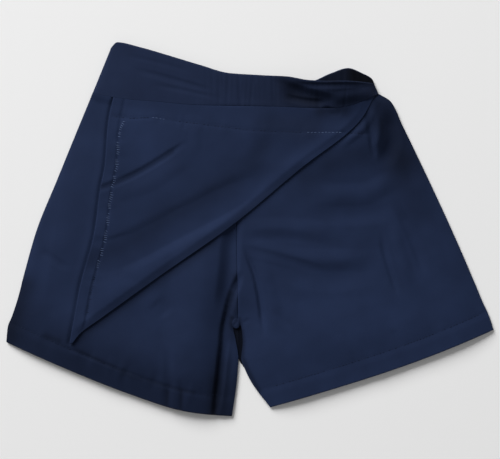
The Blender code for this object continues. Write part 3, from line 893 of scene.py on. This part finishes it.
def rim_distances(plan):
    """How far each point of a grid is from its first row, last row, first column and last column."""
    down, across = run_along(plan), run_along(plan.swapaxes(0, 1)).T
    return np.array([down, down[-1:] - down, across, across[:, -1:] - across])


def linked(name, data):
    """A new object in the scene."""
    made = bpy.data.objects.new(name, data)
    bpy.context.scene.collection.objects.link(made)
    return made


def piece_of(name, mesh, finish):
    mesh.materials.append(finish)
    return linked(name, mesh)


def shell(name, plan, layer, finish, grain, sewn, tones):
    """A closed shell of cloth over a grid of plan points; tones are the painted shade of its upper and lower
    face.

    sewn tells for the first row, last row, first column and last column whether that rim meets another
    piece in a seam, where it is only slightly rounded; a free rim is round."""
    x, y = plan[..., 0], plan[..., 1]
    top, thick = layer(x, y)
    half = thick / 2
    within = [np.clip(d / (SEWN_RIM if s else half), 0, 1) for d, s in zip(rim_distances(plan), sewn)]
    swell = half * np.sqrt(1 - (1 - np.min(within, axis=0)) ** 2)
    middle = top - half
    rows, columns = x.shape
    upper = np.arange(rows * columns).reshape(rows, columns)
    lower = upper.copy()
    lower[1:-1, 1:-1] = rows * columns + np.arange((rows - 2) * (columns - 2)).reshape(rows - 2, -1)
    places = np.stack([x, y, middle + swell], axis=2).reshape(-1, 3)
    inner = np.stack([x, y, middle - swell], axis=2)[1:-1, 1:-1].reshape(-1, 3)
    quads = []
    for sheet, order in ((upper, (0, 1, 2, 3)), (lower, (3, 2, 1, 0))):
        corners = np.stack([sheet[:-1, :-1], sheet[1:, :-1], sheet[1:, 1:], sheet[:-1, 1:]], axis=2)
        quads.append(corners.reshape(-1, 4)[:, order])
    quads = np.concatenate(quads)
    places = np.concatenate([places, inner])
    down, across = plan[1, 0] - plan[0, 0], plan[0, 1] - plan[0, 0]
    if down[0] * across[1] < down[1] * across[0]:
        quads = quads[:, ::-1]
    mesh = bpy.data.meshes.new(name)
    mesh.from_pydata(places * MM, [], quads)
    flat = places[:, :2] @ turn_by(grain)
    weave = mesh.uv_layers.new(name="weave")
    weave.uv.foreach_set("vector", (flat[quads.ravel()] * MM).ravel())
    # Painted shade and light for each point, which the cloth's finish multiplies its colour by.
    shades = mesh.attributes.new("painted_shade", "FLOAT", "POINT")
    above, below = (t(plan) if callable(t) else np.full(x.shape, t) for t in tones)
    shades.data.foreach_set("value", np.r_[above.ravel(), below[1:-1, 1:-1].ravel()])
    mesh.shade_smooth()
    return piece_of(name, mesh, finish)


# ---- stitches


def stitch_places(line, step, seed):
    """Middles and directions of the stitches of one row, a little uneven as sewn ones are."""
    line = np.asarray(line, float)
    run = run_along(line)
    rng = np.random.default_rng(seed)
    at = np.arange(step, run[-1] - step / 2, step)
    at = at + rng.uniform(-UNEVEN[0], UNEVEN[0], len(at))
    middles, ahead, behind = (
        np.stack([np.interp(at + off, run, line[:, k]) for k in (0, 1)], axis=1) for off in (0, ALONG, -ALONG)
    )
    along = ahead - behind
    along /= np.linalg.norm(along, axis=1)[:, None]
    along += rng.uniform(-UNEVEN[1], UNEVEN[1], along.shape)
    side = np.stack([-along[:, 1], along[:, 0]], axis=1)
    return middles + side * rng.uniform(-UNEVEN[2], UNEVEN[2], (len(at), 1)), along, rng


def stitches(name, rows, layer, finish, seed, across):
    """Short rounded lengths of thread along rows of stitches, on a layer's outer face.

    across is how many degrees a stitch is turned from its row."""
    up = -1 if layer is back_layer else 1
    place, thin, dip = np.array(RINGS).T
    thin = THREAD / 2 * thin
    places, faces = [], []
    turn = np.linspace(0, 2 * np.pi, THREAD_SIDES, endpoint=False)
    for number, (line, step, length) in enumerate(rows):
        middles, along, rng = stitch_places(line, step, seed + number)
        for (x, y), (ux, uy) in zip(middles, along @ turn_by(across)):
            ends = place * (length / 2 * rng.uniform(*STITCH_LENGTHS))
            spine_x, spine_y = x + ends * ux, y + ends * uy
            lift = thin.max() - SINK - SINK_MORE * rng.uniform() ** 2
            top, thick = layer(spine_x, spine_y)
            spine_z = (top if up > 0 else top - thick) + up * (lift - DIP * dip)
            first = len(places)
            for px, py, pz, r in zip(spine_x, spine_y, spine_z, thin):
                for angle in turn:
                    aside = r * np.cos(angle)
                    places.append((px - uy * aside, py + ux * aside, pz + r * np.sin(angle)))
            last = len(places) - THREAD_SIDES
            for ring in range(first, last, THREAD_SIDES):
                for k in range(THREAD_SIDES):
                    a, b = ring + k, ring + (k + 1) % THREAD_SIDES
                    faces.append((a, b, b + THREAD_SIDES, a + THREAD_SIDES))
            faces.append(tuple(range(first + THREAD_SIDES - 1, first - 1, -1)))
            faces.append(tuple(range(last, last + THREAD_SIDES)))
    mesh = bpy.data.meshes.new(name)
    mesh.from_pydata(np.array(places) * MM, [], faces)
    mesh.shade_smooth()
    return piece_of(name, mesh, finish)


def beside(line, away, steps=120):
    """A line of points at a distance from another, on its right hand for a positive one."""
    line = through(line, np.linspace(0, 1, steps))
    along = np.gradient(line, axis=0)
    along /= np.linalg.norm(along, axis=1)[:, None]
    return line + away * np.stack([along[:, 1], -along[:, 0]], axis=1)


# ---- finishes


def put(tree, node, values):
    """Sets a node's inputs, each to a value or to what another node gives."""
    for name, value in values.items():
        if isinstance(value, bpy.types.NodeSocket):
            tree.links.new(value, node.inputs[name])
        else:
            node.inputs[name].default_value = value


def given(tree, kind, output, values, **settings):
    """What a new node gives."""
    made = tree.nodes.new("ShaderNode" + kind)
    for name, value in settings.items():
        setattr(made, name, value)
    put(tree, made, values)
    return made.outputs[output]


def material(name, colour, roughness, more):
    """A new material of one colour; more are further inputs of its shader."""
    made = bpy.data.materials.new(name)
    made.use_nodes = True
    values = {"Base Color": (*colour, 1), "Roughness": roughness, "Metallic": 0.0, **more}
    put(made.node_tree, made.node_tree.nodes["Principled BSDF"], values)
    return made


def blended(tree, mode, factor, first, second):
    values = {"Factor": factor, "A": first, "B": second}
    return given(tree, "Mix", "Result", values, data_type="RGBA", blend_type=mode)


def ramped(tree, source, low, high):
    """A grey between two brightnesses, led by what a texture gives."""
    start, end = TONES_FROM
    values = {"Value": source, "From Min": start, "From Max": end, "To Min": low, "To Max": high}
    return given(tree, "MapRange", "Result", values)


def cloth_finish(name, colour):
    """Matt navy twill, with fine threads, uneven dye, and the painted shade and light that the mesh's
    attribute gives.
    """
    made = material(name, colour, CLOTH_ROUGH, CLOTH_SHINE)
    tree = made.node_tree
    weave = given(tree, "UVMap", "UV", {}, uv_map="weave")
    painted_shade = given(tree, "Attribute", "Fac", {}, attribute_name="painted_shade")
    threads = given(tree, "TexWave", "Fac", {"Vector": weave, **TWILL}, bands_direction="DIAGONAL")
    fuzz, dye = (given(tree, "TexNoise", "Fac", {"Vector": weave, **grain}) for grain in (FUZZ, DYE))
    base = (*colour, 1)
    for source, low_and_high in ((dye, DYE_TONES), (fuzz, FUZZ_TONES), (threads, TWILL_TONES)):
        base = blended(tree, "MULTIPLY", 1.0, base, ramped(tree, source, *low_and_high))
    base = blended(tree, "MULTIPLY", 1.0, base, painted_shade)
    height = blended(tree, "ADD", 0.5, threads, fuzz)
    normal = given(tree, "Bump", "Normal", {"Height": height, **BUMP})
    rough = ramped(tree, fuzz, *ROUGH_TONES)
    values = {"Base Color": base, "Roughness": rough, "Normal": normal}
    put(tree, tree.nodes["Principled BSDF"], values)
    return made


def thread_finish(name, colour, gloss):
    return material(name, colour, THREAD_ROUGH, {"Specular IOR Level": gloss})


# ---- the garment


def painted_back_band_shade(plan):
    """Painted shade: darker inside the waistband than on its top edge, and darkest deep in the mouth."""
    inner = BAND_INSIDE_SHADE + (BEFORE_MOUTH - BAND_INSIDE_SHADE) * smooth((DEEP_FROM[0] - plan[..., 0]) / DEEP_FROM[1])
    return inner + (1 - inner) * smooth(1 - rim_distances(plan)[1] / TOP_EDGE)


def outside(name):
    """The painted shade and light on a piece's outer face, as its shades give it."""

    def painted_shade(plan):
        shade = np.ones(plan.shape[:2])
        for line, reach, strength in PAINTED_SHADES[name]:
            line = LINES[line] if isinstance(line, str) else line
            shade *= 1 - strength * bell(nearest(plan[..., 0], plan[..., 1], line)[0], reach)
        return shade

    return painted_shade


def painted_band_front_shade(plan):
    """Painted shade: darker towards the left end, where the band rises to the mouth, and along its crumples.
    """
    end, start, soon = BAND_END_SHADE
    end_shade = 1 - (1 - end) * smooth((plan[..., 0] - start) / soon)
    return end_shade * outside("waistband_front")(plan)


def ladder(spans):
    """Rows of bars over the flap's facing, one for each span of y."""
    edge = [flap_edges(np.array([share]))[0][0] for share in np.linspace(*LADDER_EDGE)]
    line = beside(edge, -FACING, LADDER_STEPS)
    lean, start, soon = LADDER_LEAN
    line[:, 0] += lean * smooth((line[:, 1] - start) / soon)
    line[:, 0] += LADDER_SWAY[0] * np.sin(line[:, 1] / LADDER_SWAY[1])
    return [(line[(line[:, 1] < high) & (line[:, 1] > low)], *LADDER) for high, low in spans]


def top_row(spans):
    """Parts of the flap's row of stitches, one for each span of x."""
    x, y = np.array(FLAP_ROW, float).T
    parts = [np.r_[start, x[(x > start) & (x < end)], end] for start, end in spans]
    return [(np.stack([part, np.interp(part, x, y)], axis=1), *TOPSTITCH) for part in parts]


def cloth_pieces(cloth, band):
    """The shells that stand for the CAD nodes, by their names."""
    made = {}

    def add(name, plan, layer, finish, grain, sewn, tones):
        made[name] = shell(name, plan, layer, finish, GRAIN[grain], sewn, tones)

    for side, sections in (("right", RIGHT_SECTIONS), ("left", LEFT_SECTIONS)):
        name, plan = "front_panel_" + side, panel_plan(side, sections, *grid(PANEL_SIZE, PITCH))
        add(name, plan, front_layer, cloth, side, PANEL_SEAMS, (outside(name), 1.0))
        plan = panel_plan(side, back_sections(sections), *grid(PANEL_SIZE, HIDDEN_PITCH))
        add("back_panel_" + side, plan, back_layer, cloth, side, PANEL_SEAMS, (BACK_INSIDE_SHADE, 1.0))
    plan = flap_plan(*grid(FLAP_SIZE, PITCH))
    add("wrap_flap", plan, flap_layer, cloth, "flap", WAIST_SEAMS, (outside("wrap_flap"), 1.0))
    bands = (
        ("waistband_front", band_front_layer, (painted_band_front_shade, BAND_INSIDE_SHADE)),
        ("waistband_back", band_back_layer, (painted_back_band_shade, 1.0)),
    )
    for rise, (name, layer, tones) in enumerate(bands):
        plan = band_plan(*grid(BAND_SIZE, BAND_PITCH), rise)
        add(name, plan, layer, band, "band", WAIST_SEAMS, tones)
    for name, piece in made.items():
        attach(piece, "root")
        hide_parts(name)
    return made


def garment():
    cloth = cloth_finish("navy_twill", NAVY)
    band = cloth_finish("navy_band", BAND_NAVY)
    light = thread_finish("light_thread", LIGHT_THREAD, LIGHT_GLOSS)
    dark = thread_finish("dark_thread", DARK_THREAD, DARK_GLOSS)
    made = cloth_pieces(cloth, band)
    start, ((a, b), (c, d)) = FLAP_ROW[0][0], FLAP_ROW_LIGHT
    sewn = {
        "flap_facing_stitches": ("wrap_flap", ladder(LADDER_PALE), flap_layer, light, LADDER_TURN),
        "flap_facing_stitches_dark": ("wrap_flap", ladder(LADDER_DARK), flap_layer, dark, LADDER_TURN),
        "flap_top_stitches": ("wrap_flap", top_row(((a, b), (c, d))), flap_layer, light, 0),
        "flap_top_stitches_dark": ("wrap_flap", top_row(((start, a), (b, c))), flap_layer, dark, 0),
        "front_top_stitches": ("front_panel_left", [(FRONT_ROW, *TOPSTITCH)], front_layer, dark, 0),
    }
    for side, away in (("right", -1), ("left", 1)):
        hem = [(beside(LINES[side + "_hem"], away * HEM)[HEM_BARE:-HEM_BARE], *HEM_STITCH)]
        for which, layer in (("front", front_layer), ("back", back_layer)):
            sewn[f"{which}_hem_stitches_{side}"] = (f"{which}_panel_{side}", hem, layer, dark, 0)
    with_pieces = {name: [] for name in made}
    knot = shell("crotch_knot", knot_plan(), knot_layer, cloth, 0, NO_SEAMS, (KNOT_SHADE, KNOT_SHADE))
    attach(knot, "root")
    with_pieces["front_panel_right"].append(knot)
    for number, (name, (carrier, rows, layer, finish, across)) in enumerate(sewn.items()):
        piece = stitches(name, rows, layer, finish, ROW_SEEDS[0] * number + ROW_SEEDS[1], across)
        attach(piece, "root")
        with_pieces[carrier].append(piece)


# ---- floor, light and camera


def studio():
    scene = bpy.context.scene
    mesh = bpy.data.meshes.new("floor")
    far = FLOOR_REACH
    corners = ((-far, -far), (far, -far), (far, far), (-far, far))
    mesh.from_pydata([(x, y, FLOOR_Z) for x, y in corners], [], [(0, 1, 2, 3)])
    piece_of("floor", mesh, material("pale_floor", FLOOR_COLOUR, FLOOR_ROUGHNESS, {}))

    for name, place, size, power in LAMPS:
        light = bpy.data.lights.new(name, "AREA")
        light.shape = "SQUARE"
        light.size = size
        light.energy = power
        lamp = linked(name, light)
        lamp.location = place
        lamp.rotation_euler = (-Vector(place)).to_track_quat("-Z", "Y").to_euler()

    world = bpy.data.worlds.new("soft_room")
    world.use_nodes = True
    room = world.node_tree.nodes["Background"]
    room.inputs["Color"].default_value = (1.0, 1.0, 1.0, 1)
    room.inputs["Strength"].default_value = ROOM
    scene.world = world
    scene.view_settings.view_transform = "Standard"
    scene.view_settings.look = "None"

    data = bpy.data.cameras.new("camera")
    data.lens = LENS
    data.sensor_width = SENSOR
    data.clip_start = CLIP_START
    camera = linked("camera", data)
    camera.location = (0, 0, SEEN_HEIGHT + SEEN_WIDTH * LENS / SENSOR)
    scene.camera = camera


garment()
studio()
